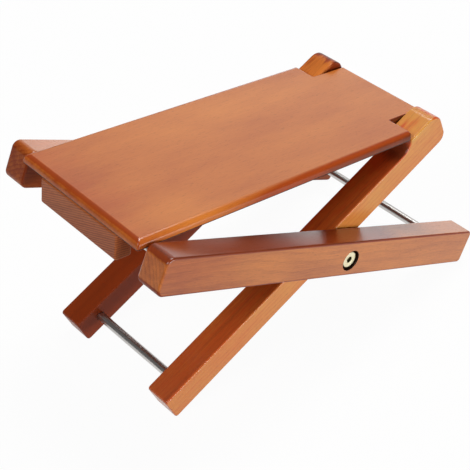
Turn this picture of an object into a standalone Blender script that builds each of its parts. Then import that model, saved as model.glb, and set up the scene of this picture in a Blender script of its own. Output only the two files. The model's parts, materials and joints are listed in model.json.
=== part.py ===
"""Folding wooden guitar footrest: a platform hinged on one pair of crossed legs and caught by the other."""

import math

import bmesh
import bpy
from mathutils import Vector

MM = 0.001
DEG = math.pi / 180

# Clearances
GAP = 0.3 * MM  # between pieces that touch
LEG_GAP = 0.75 * MM  # between an inner leg and the outer leg beside it
BOARD_SIDE_CLEAR = 0.9 * MM  # platform to outer leg
TONGUE_CLEAR = 0.7 * MM  # platform tongue, bars and cleat to inner leg
FOLD_CLEAR = 1.3 * MM  # folded flat, outer foot rod to the heads

# Inner legs, lengths along the leg from the pivot
INNER_SPACING = 86.8 * MM  # clear width between the two
INNER_H = 23.0 * MM
INNER_T = 22.0 * MM
INNER_FOOT_END = 172.2 * MM
INNER_HEAD_END = 133.5 * MM
INNER_FOOT_ROD = 153.0 * MM
HEAD_START = 101.0 * MM  # where the raised head reaches its full height
HEAD_FLUSH = 0.2 * MM  # head above the folded platform
RAMP_R = 14.0 * MM  # hollow rise from shaft to head
HEAD_TOP_R = 11.0 * MM
HEAD_LOW_R = 8.0 * MM
FOOT_R = 2.5 * MM
INNER_TILT = 23.5 * DEG  # of the inner legs, from the floor

# Outer legs, lengths along the leg from the pivot
OUTER_H = 29.2 * MM
OUTER_T = 22.0 * MM
OUTER_RISE = 1.5 * MM  # middle of the leg above the pivot
OUTER_FOOT_END = 158.0 * MM
OUTER_FOOT_R = 3.5 * MM
OUTER_TOP_MARGIN = 18.4 * MM  # catch rod to the upper end
OUTER_TOP_R = 6.0 * MM
LEG_EDGE_R = 1.8 * MM  # all long edges of the legs

# Rods
ROD_D = 7.0 * MM
ROD_HOLE_DEPTH = 12.0 * MM
ROD_CHAMFER = 0.6 * MM
CATCH_RISE = 2.0 * MM  # catch rod above the middle of the outer legs
CATCH_CLEAR = 3.7 * MM  # catch rod to the cleat

# Platform, lengths along it from the hinge axis
BOARD_L = 299.0 * MM
BOARD_T = 7.5 * MM
TONGUE_END = 17.5 * MM
SHOULDER = 17.0 * MM  # hinge axis to the notches
BOARD_TOP_R = 5.0 * MM
BOARD_EDGE_R = 1.5 * MM  # all other edges
HINGE_ALONG = 109.4 * MM  # hinge axis from the pivot, along the inner leg
HINGE_RISE = 1.7 * MM  # hinge axis above the middle of the inner leg
HINGE_BAR_W = 15.0 * MM
HINGE_BAR_H = 20.0 * MM
CLEAT_W = 14.0 * MM
CLEAT_H = 20.6 * MM
CLEAT_EDGE_R = 2.5 * MM

# Racks
RACK_T = 8.0 * MM
RACK_INSET = 9.7 * MM  # its middle from the end of the cleat
RACK_H = 14.0 * MM
RACK_END = 16.0 * MM  # past the last notch
SEAT_DEPTH = 11.75 * MM  # middle of the caught rod below the platform
NOTCH_PITCH = 21.0 * MM
NOTCH_COUNT = 3
NOTCH_FREE = 2.2 * MM  # along the rack, beside the caught rod
NOTCH_RAKE = 22.0 * DEG  # of the notch wall next to the cleat
NOTCH_R = 1.0 * MM
RACK_END_R = 3.0 * MM

# Pivot fittings
BOLT_HEAD_D = 13.0 * MM
BOLT_HEAD_H = 2.6 * MM
BOLT_SINK = 1.5 * MM  # head below the face of the leg
BOLT_D = 6.0 * MM
BOLT_BITE = 13.0 * MM  # bolt inside the sleeve nut
BOLT_CHAMFER = 0.4 * MM
SOCKET_AF = 5.0 * MM
SOCKET_DEPTH = 1.9 * MM
COUNTERBORE_D = 17.0 * MM
SLEEVE_D = 9.0 * MM
SLEEVE_HEAD_D = 13.0 * MM
SLEEVE_HEAD_H = 2.0 * MM
SLEEVE_END = 4.0 * MM  # sleeve nut to the outer face of the inner leg
WASHER_D = 19.0 * MM
WASHER_SINK = 1.0 * MM  # washer into the inner leg

# Wood screws
SCREW_D = 3.5 * MM
SCREW_HEAD_D = 7.0 * MM
SCREW_HEAD_H = 2.4 * MM
SCREW_BITE = 5.0 * MM  # into the platform
SCREW_TIP = 2.0 * MM  # length of the point
SCREW_TIP_D = 0.8 * MM
CLEAT_SCREW_SINK = 6.0 * MM
CLEAT_SCREWS = 3
CLEAT_SCREW_PITCH = 30.0 * MM
RACK_SCREW_SINK = 0.5 * MM
CROSS_W = 1.0 * MM
CROSS_L = 4.2 * MM
CROSS_DEPTH = 1.2 * MM

SEGMENTS = 32  # round a turned piece
SCREW_SEGMENTS = 16
ARC_STEP = 15 * DEG

ROD_R = ROD_D / 2
BORE_R = ROD_R + GAP
HEAD_RAISE = BOARD_T + HEAD_FLUSH
INNER_FACE = INNER_SPACING / 2
INNER_OUT = INNER_FACE + INNER_T
OUTER_FACE = INNER_OUT + LEG_GAP
OUTER_OUT = OUTER_FACE + OUTER_T
BOARD_W = 2 * (OUTER_FACE - BOARD_SIDE_CLEAR)
TONGUE_W = INNER_SPACING - 2 * TONGUE_CLEAR
OUTER_FOOT_ROD = INNER_HEAD_END + ROD_R + FOLD_CLEAR
OUTER_LOW = OUTER_RISE - OUTER_H / 2
OUTER_HIGH = OUTER_RISE + OUTER_H / 2
CATCH_HIGH = OUTER_RISE + CATCH_RISE


def reach(along, across, radius, turn):
    """How far from the pivot a leg's rounded corner lies, measured at a turn from across the leg."""
    return (along - radius) * math.sin(turn) + (across - radius) * math.cos(turn) + radius


PIVOT_H = reach(INNER_FOOT_END, INNER_H / 2, FOOT_R, INNER_TILT)


def tilt_that_reaches(drop):
    """The outer legs' tilt at which their feet stand as low as the inner legs' feet."""
    along = OUTER_FOOT_END - OUTER_FOOT_R
    down = -OUTER_LOW - OUTER_FOOT_R
    return math.asin((drop - OUTER_FOOT_R) / math.hypot(along, down)) - math.atan2(down, along)


OUTER_TILT = tilt_that_reaches(PIVOT_H)

# The platform's own frame has its origin on the hinge axis, u towards the tongue and w upwards.
UNDERSIDE = HINGE_BAR_H / 2 + GAP
BOARD_LEFT = TONGUE_END - BOARD_L
CLEAT_RIGHT = BOARD_LEFT + CLEAT_W
CATCH_U = CLEAT_RIGHT + CATCH_CLEAR + ROD_R
CATCH_W = UNDERSIDE - SEAT_DEPTH


def along_leg(tilt):
    return Vector((math.cos(tilt), math.sin(tilt)))


def across_leg(tilt):
    return Vector((-math.sin(tilt), math.cos(tilt)))


HINGE = HINGE_ALONG * along_leg(INNER_TILT) + HINGE_RISE * across_leg(INNER_TILT)


def catch_distance():
    """Where on the outer legs the catch rod lies, so that it meets its notch in the platform."""
    to_hinge = HINGE - CATCH_HIGH * across_leg(-OUTER_TILT)
    run = along_leg(-OUTER_TILT).dot(to_hinge)
    from_hinge = math.hypot(CATCH_U, CATCH_W)
    return math.sqrt(run * run - to_hinge.length_squared + from_hinge * from_hinge) - run


CATCH_ROD = catch_distance()
OUTER_TOP_END = CATCH_ROD + OUTER_TOP_MARGIN
CATCH = CATCH_HIGH * across_leg(-OUTER_TILT) - CATCH_ROD * along_leg(-OUTER_TILT)
TO_CATCH = CATCH - HINGE
CATCH_TURN = math.atan2(TO_CATCH.y, TO_CATCH.x) - math.atan2(CATCH_W, CATCH_U)
BOARD_TILT = math.remainder(CATCH_TURN, 2 * math.pi)

# The outer legs reach farthest both ways, so this puts the middle of the object over the origin.
OUTER_LEFT = reach(-OUTER_LOW, OUTER_TOP_END, OUTER_TOP_R, OUTER_TILT)
OUTER_RIGHT = reach(OUTER_HIGH, OUTER_FOOT_END, OUTER_FOOT_R, OUTER_TILT)
PIVOT_X = (OUTER_LEFT - OUTER_RIGHT) / 2


def clear_scene():
    for obj in list(bpy.data.objects):
        bpy.data.objects.remove(obj, do_unlink=True)


def material(name, colour, roughness, metallic):
    made = bpy.data.materials.new(name)
    made.use_nodes = True
    shader = made.node_tree.nodes["Principled BSDF"]
    shader.inputs["Base Color"].default_value = (*colour, 1)
    shader.inputs["Roughness"].default_value = roughness
    shader.inputs["Metallic"].default_value = metallic
    return made


def frame(name, place, tilt, parent=None):
    """An empty on a joint's axis. Its local X points along the legs or the platform."""
    empty = bpy.data.objects.new(name, None)
    bpy.context.scene.collection.objects.link(empty)
    empty.location = place
    empty.rotation_euler = (0, tilt, 0)
    if parent:
        empty.parent = parent
    return empty


def piece(name, mesh, parent, finish=None, place=(0, 0, 0)):
    """A solid of the object, or a cutter where it has no finish."""
    obj = bpy.data.objects.new(name, mesh)
    bpy.context.scene.collection.objects.link(obj)
    obj.parent = parent
    obj.location = place
    if finish:
        obj.data.materials.append(finish)
    else:
        obj.hide_render = True
        obj.display_type = "WIRE"
    return obj


def cut(obj, cutter):
    boolean = obj.modifiers.new("cut_" + cutter.name, "BOOLEAN")
    boolean.operation = "DIFFERENCE"
    boolean.solver = "EXACT"
    boolean.object = cutter


def closed_mesh(bm, name):
    bmesh.ops.recalc_face_normals(bm, faces=bm.faces)
    mesh = bpy.data.meshes.new(name)
    bm.to_mesh(mesh)
    bm.free()
    mesh.shade_smooth()
    mesh.set_sharp_from_angle(angle=35 * DEG)
    return mesh


def rounded_outline(corners):
    """Points of a closed outline. Each corner is (x, z, radius)."""
    points = []
    count = len(corners)
    for i in range(count):
        before = Vector(corners[i - 1][:2])
        here = Vector(corners[i][:2])
        after = Vector(corners[(i + 1) % count][:2])
        radius = corners[i][2]
        if not radius:
            points.append(here)
            continue
        back = (before - here).normalized()
        on = (after - here).normalized()
        half = back.angle(on) / 2
        middle = here + (back + on).normalized() * radius / math.sin(half)
        start = here + back * radius / math.tan(half) - middle
        sweep = start.angle_signed(here + on * radius / math.tan(half) - middle)
        steps = max(2, math.ceil(abs(sweep) / ARC_STEP))
        for k in range(steps + 1):
            turned_by = -sweep * k / steps
            cos, sin = math.cos(turned_by), math.sin(turned_by)
            spoke = Vector((start.x * cos - start.y * sin, start.x * sin + start.y * cos))
            points.append(middle + spoke)
    return points


def slab(name, outline, y0, y1):
    """The outline, in X and Z, drawn out from y0 to y1."""
    bm = bmesh.new()
    ring = [bm.verts.new((p.x, y0, p.y)) for p in outline]
    face = bm.faces.new(ring)
    grown = bmesh.ops.extrude_face_region(bm, geom=[face])
    moved = [v for v in grown["geom"] if isinstance(v, bmesh.types.BMVert)]
    bmesh.ops.translate(bm, verts=moved, vec=(0, y1 - y0, 0))
    return closed_mesh(bm, name)


def block(name, x0, x1, y0, y1, z0, z1):
    corners = [(x0, z0, 0), (x1, z0, 0), (x1, z1, 0), (x0, z1, 0)]
    return slab(name, rounded_outline(corners), y0, y1)


def turned(name, steps, axis="Y", segments=SEGMENTS):
    """A turned solid. Its steps are (distance along the axis, radius) down its outer side."""
    bm = bmesh.new()
    points = [(steps[0][0], 0), *steps, (steps[-1][0], 0)]
    verts = [bm.verts.new((r, at, 0) if axis == "Y" else (r, 0, at)) for at, r in points]
    edges = [bm.edges.new(pair) for pair in zip(verts, verts[1:])]
    about = (0, 1, 0) if axis == "Y" else (0, 0, 1)
    profile = verts + edges
    turn = 2 * math.pi
    bmesh.ops.spin(bm, geom=profile, cent=(0, 0, 0), axis=about, angle=turn, steps=segments, use_merge=True)
    bmesh.ops.remove_doubles(bm, verts=bm.verts, dist=0.001 * MM)
    return closed_mesh(bm, name)


def hexagon(name, across_flats, y0, y1):
    radius = across_flats / math.sqrt(3)
    turns = [k * math.pi / 3 for k in range(6)]
    corners = [(radius * math.cos(turn), radius * math.sin(turn), 0) for turn in turns]
    return slab(name, rounded_outline(corners), y0, y1)


def soften(obj, width, segments=2):
    bevel = obj.modifiers.new("edges", "BEVEL")
    bevel.width = width
    bevel.segments = segments
    bevel.limit_method = "ANGLE"
    bevel.angle_limit = 40 * DEG
    bevel.harden_normals = False


def mirrored(side, y0, y1):
    """The span on one side of the object: side is -1 for the near side and 1 for the far side."""
    return min(side * y0, side * y1), max(side * y0, side * y1)


def inner_leg_outline():
    half = INNER_H / 2
    top = half + HEAD_RAISE
    turn = math.acos(1 - HEAD_RAISE / RAMP_R)
    foot = HEAD_START - RAMP_R * math.sin(turn)
    steps = max(3, math.ceil(turn / ARC_STEP))
    ramp = [
        (foot + RAMP_R * math.sin(turn * k / steps), half + RAMP_R * (1 - math.cos(turn * k / steps)), 0)
        for k in range(steps, -1, -1)
    ]
    return rounded_outline(
        [
            (-INNER_FOOT_END, -half, FOOT_R),
            (INNER_HEAD_END, -half, HEAD_LOW_R),
            (INNER_HEAD_END, top, HEAD_TOP_R),
            *ramp,
            (-INNER_FOOT_END, half, FOOT_R),
        ]
    )


def outer_leg_outline():
    return rounded_outline(
        [
            (-OUTER_TOP_END, OUTER_LOW, OUTER_TOP_R),
            (OUTER_FOOT_END, OUTER_LOW, OUTER_FOOT_R),
            (OUTER_FOOT_END, OUTER_HIGH, OUTER_FOOT_R),
            (-OUTER_TOP_END, OUTER_HIGH, OUTER_TOP_R),
        ]
    )


def rod(name, half_length, place, parent, finish):
    steps = [
        (-half_length, ROD_R - ROD_CHAMFER),
        (-half_length + ROD_CHAMFER, ROD_R),
        (half_length - ROD_CHAMFER, ROD_R),
        (half_length, ROD_R - ROD_CHAMFER),
    ]
    return piece(name, turned(name, steps), parent, finish, place)


def rod_hole(leg, name, face, side, place, parent):
    """A blind hole in the inner side of a leg."""
    low, high = mirrored(side, face - ROD_HOLE_DEPTH, face + ROD_HOLE_DEPTH + GAP)
    cut(leg, piece(name, turned(name, [(low, BORE_R), (high, BORE_R)]), parent, None, place))


def inner_leg(tag, side, parent, wood):
    y0, y1 = mirrored(side, INNER_FACE, INNER_OUT)
    name = "inner_leg_" + tag
    leg = piece(name, slab(name, inner_leg_outline(), y0, y1), parent, wood)
    soften(leg, LEG_EDGE_R)
    rod_hole(leg, name + "_foot_hole", INNER_FACE, side, (-INNER_FOOT_ROD, 0, 0), parent)
    rod_hole(leg, name + "_hinge_hole", INNER_FACE, side, (HINGE_ALONG, 0, HINGE_RISE), parent)
    beyond = 2 * GAP
    floor = INNER_OUT - SLEEVE_END + GAP
    recess = INNER_FACE + SLEEVE_HEAD_H + 2 * GAP
    steps = [
        (INNER_FACE - beyond, SLEEVE_HEAD_D / 2 + GAP),
        (recess, SLEEVE_HEAD_D / 2 + GAP),
        (recess, SLEEVE_D / 2 + GAP),
        (floor, SLEEVE_D / 2 + GAP),
        (floor, BOLT_D / 2 + GAP),
        (INNER_OUT - WASHER_SINK, BOLT_D / 2 + GAP),
        (INNER_OUT - WASHER_SINK, WASHER_D / 2 + GAP),
        (INNER_OUT + beyond, WASHER_D / 2 + GAP),
    ]
    cut(leg, piece(name + "_pivot_hole", turned(name, [(side * y, r) for y, r in steps]), parent))


def outer_leg(tag, side, parent, wood):
    y0, y1 = mirrored(side, OUTER_FACE, OUTER_OUT)
    name = "outer_leg_" + tag
    leg = piece(name, slab(name, outer_leg_outline(), y0, y1), parent, wood)
    soften(leg, LEG_EDGE_R)
    rod_hole(leg, name + "_foot_hole", OUTER_FACE, side, (OUTER_FOOT_ROD, 0, OUTER_RISE), parent)
    rod_hole(leg, name + "_catch_hole", OUTER_FACE, side, (-CATCH_ROD, 0, CATCH_HIGH), parent)
    floor = OUTER_OUT - BOLT_SINK - BOLT_HEAD_H - GAP
    steps = [
        (OUTER_FACE - 2 * GAP, BOLT_D / 2 + GAP),
        (floor, BOLT_D / 2 + GAP),
        (floor, COUNTERBORE_D / 2),
        (OUTER_OUT + 2 * GAP, COUNTERBORE_D / 2),
    ]
    cut(leg, piece(name + "_pivot_hole", turned(name, [(side * y, r) for y, r in steps]), parent))


def pivot_bolt(tag, side, parent, brass):
    name = "pivot_bolt_" + tag
    face = OUTER_OUT - BOLT_SINK
    under = face - BOLT_HEAD_H
    tip = INNER_OUT - SLEEVE_END - BOLT_BITE
    steps = [
        (tip, BOLT_D / 2 - BOLT_CHAMFER),
        (tip + BOLT_CHAMFER, BOLT_D / 2),
        (under, BOLT_D / 2),
        (under, BOLT_HEAD_D / 2),
        (face - BOLT_CHAMFER, BOLT_HEAD_D / 2),
        (face, BOLT_HEAD_D / 2 - BOLT_CHAMFER),
    ]
    bolt = piece(name, turned(name, [(side * y, r) for y, r in steps]), parent, brass)
    low, high = mirrored(side, face - SOCKET_DEPTH, face + GAP)
    cut(bolt, piece(name + "_socket", hexagon(name + "_socket", SOCKET_AF, low, high), parent))


def sleeve_nut(tag, side, parent, brass):
    name = "sleeve_nut_" + tag
    back = INNER_FACE + GAP
    shoulder = back + SLEEVE_HEAD_H
    end = INNER_OUT - SLEEVE_END
    bottom = end - BOLT_BITE - GAP
    steps = [
        (back, SLEEVE_HEAD_D / 2),
        (shoulder, SLEEVE_HEAD_D / 2),
        (shoulder, SLEEVE_D / 2),
        (end, SLEEVE_D / 2),
    ]
    nut = piece(name, turned(name, [(side * y, r) for y, r in steps]), parent, brass)
    inside = [(bottom, BOLT_D / 2 + GAP), (end + GAP, BOLT_D / 2 + GAP)]
    cut(nut, piece(name + "_bore", turned(name + "_bore", [(side * y, r) for y, r in inside]), parent))


def pivot_washer(tag, side, parent, nylon):
    name = "pivot_washer_" + tag
    low = INNER_OUT - WASHER_SINK + GAP
    high = OUTER_FACE - GAP
    steps = [(low, WASHER_D / 2), (high, WASHER_D / 2)]
    washer = piece(name, turned(name, [(side * y, r) for y, r in steps]), parent, nylon)
    hole = [(low - GAP, BOLT_D / 2 + GAP), (high + GAP, BOLT_D / 2 + GAP)]
    cut(washer, piece(name + "_hole", turned(name + "_hole", [(side * y, r) for y, r in hole]), parent))


def top_board(parent, wood):
    half = BOARD_W / 2
    tongue = TONGUE_W / 2
    outline = [
        (BOARD_LEFT, -half),
        (-SHOULDER, -half),
        (-SHOULDER, -tongue),
        (TONGUE_END, -tongue),
        (TONGUE_END, tongue),
        (-SHOULDER, tongue),
        (-SHOULDER, half),
        (BOARD_LEFT, half),
    ]
    bm = bmesh.new()
    face = bm.faces.new([bm.verts.new((x, y, UNDERSIDE)) for x, y in outline])
    grown = bmesh.ops.extrude_face_region(bm, geom=[face])
    moved = [v for v in grown["geom"] if isinstance(v, bmesh.types.BMVert)]
    bmesh.ops.translate(bm, verts=moved, vec=(0, 0, BOARD_T))
    weight = bm.edges.layers.float.new("bevel_weight_edge")
    top = UNDERSIDE + BOARD_T
    for edge in bm.edges:
        a, b = (v.co for v in edge.verts)
        on_top = min(a.z, b.z) > top - GAP
        on_rim = max(abs(a.y), abs(b.y)) > half - GAP and (abs(a.y - b.y) < GAP or max(a.x, b.x) < 0)
        shoulder = abs(a.x + SHOULDER) < GAP and abs(b.x + SHOULDER) < GAP
        edge[weight] = 1 if on_top and on_rim and not shoulder else BOARD_EDGE_R / BOARD_TOP_R
    board = piece("top_board", closed_mesh(bm, "top_board"), parent, wood)
    bevel = board.modifiers.new("edges", "BEVEL")
    bevel.width = BOARD_TOP_R
    bevel.segments = 4
    bevel.limit_method = "WEIGHT"
    return board


def bar(name, u0, u1, height, radius, parent, wood):
    """A bar across the platform's underside, as long as the inner legs leave room for."""
    top = UNDERSIDE - GAP
    corners = [(u0, top - height, radius), (u1, top - height, radius), (u1, top, 0), (u0, top, 0)]
    made = piece(name, slab(name, rounded_outline(corners), -TONGUE_W / 2, TONGUE_W / 2), parent, wood)
    soften(made, BOARD_EDGE_R)
    return made


def rack_outline():
    """A strip with notches for the catch rod, raked on the side from which the rod comes in."""
    top = UNDERSIDE - GAP
    low = top - RACK_H
    seat = CATCH_W + ROD_R + GAP
    start = CLEAT_RIGHT + GAP
    end = CATCH_U + (NOTCH_COUNT - 1) * NOTCH_PITCH + RACK_END
    corners = [(start, top, 0), (start, low, 0)]
    for k in range(NOTCH_COUNT):
        right = CATCH_U + k * NOTCH_PITCH + ROD_R + GAP
        left = right - ROD_D - 2 * GAP - NOTCH_FREE
        spread = (seat - low) * math.tan(NOTCH_RAKE)
        corners += [(left - spread, low, 0), (left, seat, NOTCH_R), (right, seat, NOTCH_R), (right, low, 0)]
    return rounded_outline([*corners, (end, low, RACK_END_R), (end, top, 0)])


def wood_screw(name, u, y, low, sink, board, holder, parent, steel):
    """A countersunk screw from below, through its holder and into the platform."""
    tip = UNDERSIDE + SCREW_BITE
    head = low + sink
    neck = head + SCREW_HEAD_H
    steps = [
        (head, SCREW_HEAD_D / 2),
        (neck, SCREW_D / 2),
        (tip - SCREW_TIP, SCREW_D / 2),
        (tip, SCREW_TIP_D / 2),
    ]
    screw = piece(name, turned(name, steps, "Z", SCREW_SEGMENTS), parent, steel, (u, y, 0))
    room = [
        (low - GAP, SCREW_HEAD_D / 2 + GAP),
        (head, SCREW_HEAD_D / 2 + GAP),
        (neck, SCREW_D / 2 + GAP),
        (tip - SCREW_TIP, SCREW_D / 2 + GAP),
        (tip + GAP, SCREW_D / 2 + GAP),
    ]
    hole = piece(name + "_hole", turned(name + "_hole", room, "Z", SCREW_SEGMENTS), parent, None, (u, y, 0))
    cut(holder, hole)
    cut(board, hole)
    for tag, x, w in (("a", CROSS_L, CROSS_W), ("b", CROSS_W, CROSS_L)):
        slot = name + "_slot_" + tag
        slot_mesh = block(slot, -x / 2, x / 2, -w / 2, w / 2, head - GAP, head + CROSS_DEPTH)
        cut(screw, piece(slot, slot_mesh, parent, None, (u, y, 0)))


def build():
    clear_scene()
    board_wood = material("board_wood", (0.40, 0.15, 0.05), 0.38, 0.0)
    leg_wood = material("leg_wood", (0.36, 0.12, 0.045), 0.32, 0.0)
    cleat_wood = material("cleat_wood", (0.24, 0.08, 0.045), 0.5, 0.0)
    rack_wood = material("rack_wood", (0.42, 0.19, 0.09), 0.5, 0.0)
    steel = material("polished_steel", (0.62, 0.62, 0.62), 0.2, 1.0)
    brass = material("brass_plate", (0.86, 0.76, 0.46), 0.25, 1.0)
    nylon = material("white_nylon", (0.8, 0.8, 0.78), 0.5, 0.0)

    inner = frame("inner_frame", (PIVOT_X, 0, PIVOT_H), -INNER_TILT)
    outer = frame("outer_frame", (0, 0, 0), INNER_TILT + OUTER_TILT, inner)
    platform = frame("platform", (HINGE_ALONG, 0, HINGE_RISE), INNER_TILT - BOARD_TILT, inner)

    for tag, side in (("near", -1), ("far", 1)):
        inner_leg(tag, side, inner, leg_wood)
        outer_leg(tag, side, outer, leg_wood)
        pivot_bolt(tag, side, outer, brass)
        sleeve_nut(tag, side, inner, brass)
        pivot_washer(tag, side, inner, nylon)

    inner_reach = INNER_FACE + ROD_HOLE_DEPTH
    outer_reach = OUTER_FACE + ROD_HOLE_DEPTH
    rod("inner_foot_rod", inner_reach, (-INNER_FOOT_ROD, 0, 0), inner, steel)
    rod("hinge_rod", inner_reach, (HINGE_ALONG, 0, HINGE_RISE), inner, steel)
    rod("outer_foot_rod", outer_reach, (OUTER_FOOT_ROD, 0, OUTER_RISE), outer, steel)
    rod("catch_rod", outer_reach, (-CATCH_ROD, 0, CATCH_HIGH), outer, steel)

    board = top_board(platform, board_wood)
    cleat = bar("stop_cleat", BOARD_LEFT, CLEAT_RIGHT, CLEAT_H, CLEAT_EDGE_R, platform, cleat_wood)
    half_bar = HINGE_BAR_W / 2
    hinge_bar = bar("hinge_bar", -half_bar, half_bar, HINGE_BAR_H, CLEAT_EDGE_R, platform, cleat_wood)
    bore = [(-TONGUE_W / 2 - GAP, BORE_R), (TONGUE_W / 2 + GAP, BORE_R)]
    cut(hinge_bar, piece("hinge_bore", turned("hinge_bore", bore), platform))

    cleat_low = UNDERSIDE - GAP - CLEAT_H
    cleat_middle = (BOARD_LEFT + CLEAT_RIGHT) / 2
    for k in range(CLEAT_SCREWS):
        y = (k - (CLEAT_SCREWS - 1) / 2) * CLEAT_SCREW_PITCH
        name = f"cleat_screw_{k + 1}"
        wood_screw(name, cleat_middle, y, cleat_low, CLEAT_SCREW_SINK, board, cleat, platform, steel)

    rack_low = UNDERSIDE - GAP - RACK_H
    for tag, side in (("near", -1), ("far", 1)):
        middle = side * (TONGUE_W / 2 - RACK_INSET)
        name = "rack_" + tag
        mesh = slab(name, rack_outline(), middle - RACK_T / 2, middle + RACK_T / 2)
        rack = piece(name, mesh, platform, rack_wood)
        for k in range(NOTCH_COUNT - 1):
            u = CATCH_U + (k + 0.5) * NOTCH_PITCH
            screw_name = f"rack_screw_{tag}_{k + 1}"
            wood_screw(screw_name, u, middle, rack_low, RACK_SCREW_SINK, board, rack, platform, steel)


build()
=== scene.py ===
"""Looks of the folding wooden footrest: lacquered wood, polished rods and plated bolts."""

import json
import math

import bmesh
import bpy
from mathutils import Matrix, Vector


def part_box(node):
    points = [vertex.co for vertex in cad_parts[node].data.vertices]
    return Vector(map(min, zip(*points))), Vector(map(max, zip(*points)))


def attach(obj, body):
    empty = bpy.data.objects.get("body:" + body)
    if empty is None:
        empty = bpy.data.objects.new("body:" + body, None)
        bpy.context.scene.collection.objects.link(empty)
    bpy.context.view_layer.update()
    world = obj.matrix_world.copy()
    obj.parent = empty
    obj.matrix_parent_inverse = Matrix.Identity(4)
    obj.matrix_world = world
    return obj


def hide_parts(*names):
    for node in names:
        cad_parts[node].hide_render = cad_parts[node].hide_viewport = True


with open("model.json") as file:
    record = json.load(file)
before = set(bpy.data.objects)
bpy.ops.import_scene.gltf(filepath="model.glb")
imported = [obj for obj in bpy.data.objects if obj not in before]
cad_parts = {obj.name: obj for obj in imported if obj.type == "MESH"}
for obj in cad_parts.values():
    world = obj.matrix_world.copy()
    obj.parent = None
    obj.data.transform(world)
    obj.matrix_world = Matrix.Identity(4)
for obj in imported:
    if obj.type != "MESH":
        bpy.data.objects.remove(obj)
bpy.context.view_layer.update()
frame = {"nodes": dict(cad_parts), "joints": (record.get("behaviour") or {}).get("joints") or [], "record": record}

MM = 0.001
DEG = math.pi / 180


def middle(node):
    """The middle of a solid, as the object stands."""
    low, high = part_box(node)
    return (low + high) / 2


def sides_of(node):
    """Where a solid starts and ends across the object, in Y."""
    low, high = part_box(node)
    return low.y, high.y


GAP = 0.3 * MM  # between pieces that touch
TRIM = 0.02 * MM  # keeps the end cleat's finer rounding inside the solids' box

# Faces on the far side, which the near side mirrors
INNER_FACE, INNER_OUT = sides_of("inner_leg_far")
OUTER_FACE, OUTER_OUT = sides_of("outer_leg_far")
RACK_FACE, RACK_OUT = sides_of("rack_far")
BOLT_TIP, BOLT_FACE = sides_of("pivot_bolt_far")
BOARD_HALF = sides_of("top_board")[1]
TONGUE_HALF = sides_of("hinge_bar")[1]

# Tread, with lengths along it from the hinge
BOARD_L = 299.0 * MM
BOARD_T = 7.5 * MM
TONGUE_END = 17.5 * MM
SHOULDER = 17.0 * MM  # hinge axis to the notches
BOARD_TOP_R = 5.0 * MM
BOARD_EDGE_R = 1.5 * MM  # all other edges
BOARD_LEFT = TONGUE_END - BOARD_L
BAR_W = 15.0 * MM
BAR_H = 20.0 * MM
CLEAT_W = 14.0 * MM
CLEAT_H = 20.6 * MM
BAR_R = 2.5 * MM  # lower edges of the bar and the cleat
UNDERSIDE = BAR_H / 2 + GAP

# Racks
RACK_H = 14.0 * MM
RACK_END = 16.0 * MM  # past the last notch
RACK_END_R = 3.0 * MM
NOTCH_PITCH = 21.0 * MM
NOTCH_COUNT = 3
NOTCH_FREE = 2.2 * MM  # along the rack, beside the caught rod
NOTCH_RAKE = 22.0 * DEG  # of the notch wall next to the cleat
NOTCH_R = 1.0 * MM

# Rods
ROD_R = 3.5 * MM
ROD_BORE_R = ROD_R + GAP
ROD_CHAMFER = 0.6 * MM
CATCH_RISE = 2.0 * MM  # catch rod above the middle of the outer legs

# Inner legs, with lengths along them from the pivot
INNER_TILT = 23.5 * DEG  # from the floor
INNER_H = 23.0 * MM
INNER_FOOT_END = 172.2 * MM
INNER_FOOT_R = 2.5 * MM
INNER_HEAD_END = 133.5 * MM
HEAD_START = 101.0 * MM  # where the raised head reaches its full height
HEAD_FLUSH = 0.2 * MM  # head above the folded tread
HEAD_RAISE = BOARD_T + HEAD_FLUSH
HEAD_TOP_R = 11.0 * MM
HEAD_LOW_R = 8.0 * MM
RAMP_R = 14.0 * MM  # hollow rise from shaft to head
LEG_EDGE_R = 1.8 * MM  # all long edges of the legs

# Outer legs, with lengths along them from the pivot
OUTER_H = 29.2 * MM
OUTER_RISE = 1.5 * MM  # middle of the leg above the pivot
OUTER_FOOT_END = 158.0 * MM
OUTER_FOOT_R = 3.5 * MM
OUTER_TOP_MARGIN = 18.4 * MM  # catch rod to the upper end
OUTER_TOP_R = 6.0 * MM

# Pivot bolts, and what they pass through
BOLT_R = 3.0 * MM
BOLT_HEAD_R = 6.5 * MM
BOLT_HEAD_H = 2.6 * MM
BOLT_CHAMFER = 0.4 * MM
SOCKET_AF = 5.0 * MM  # across the flats
SOCKET_CORNER_R = SOCKET_AF / math.sqrt(3)
SOCKET_DEPTH = 1.9 * MM
DISH_DEPTH = 0.15 * MM  # shallow dish about the socket
DISH_RIM = 0.9 * MM  # its rim, past the socket's corners
DISH_FLOOR = 0.7 * MM  # its floor, past them too
COUNTERBORE_R = 8.5 * MM
SLEEVE_R = 4.5 * MM
SLEEVE_HEAD_R = 6.5 * MM
SLEEVE_HEAD_H = 2.0 * MM
SLEEVE_END = 4.0 * MM  # sleeve nut to the outer face of the inner leg
WASHER_R = 9.5 * MM
WASHER_SINK = 1.0 * MM  # washer into the inner leg

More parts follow.
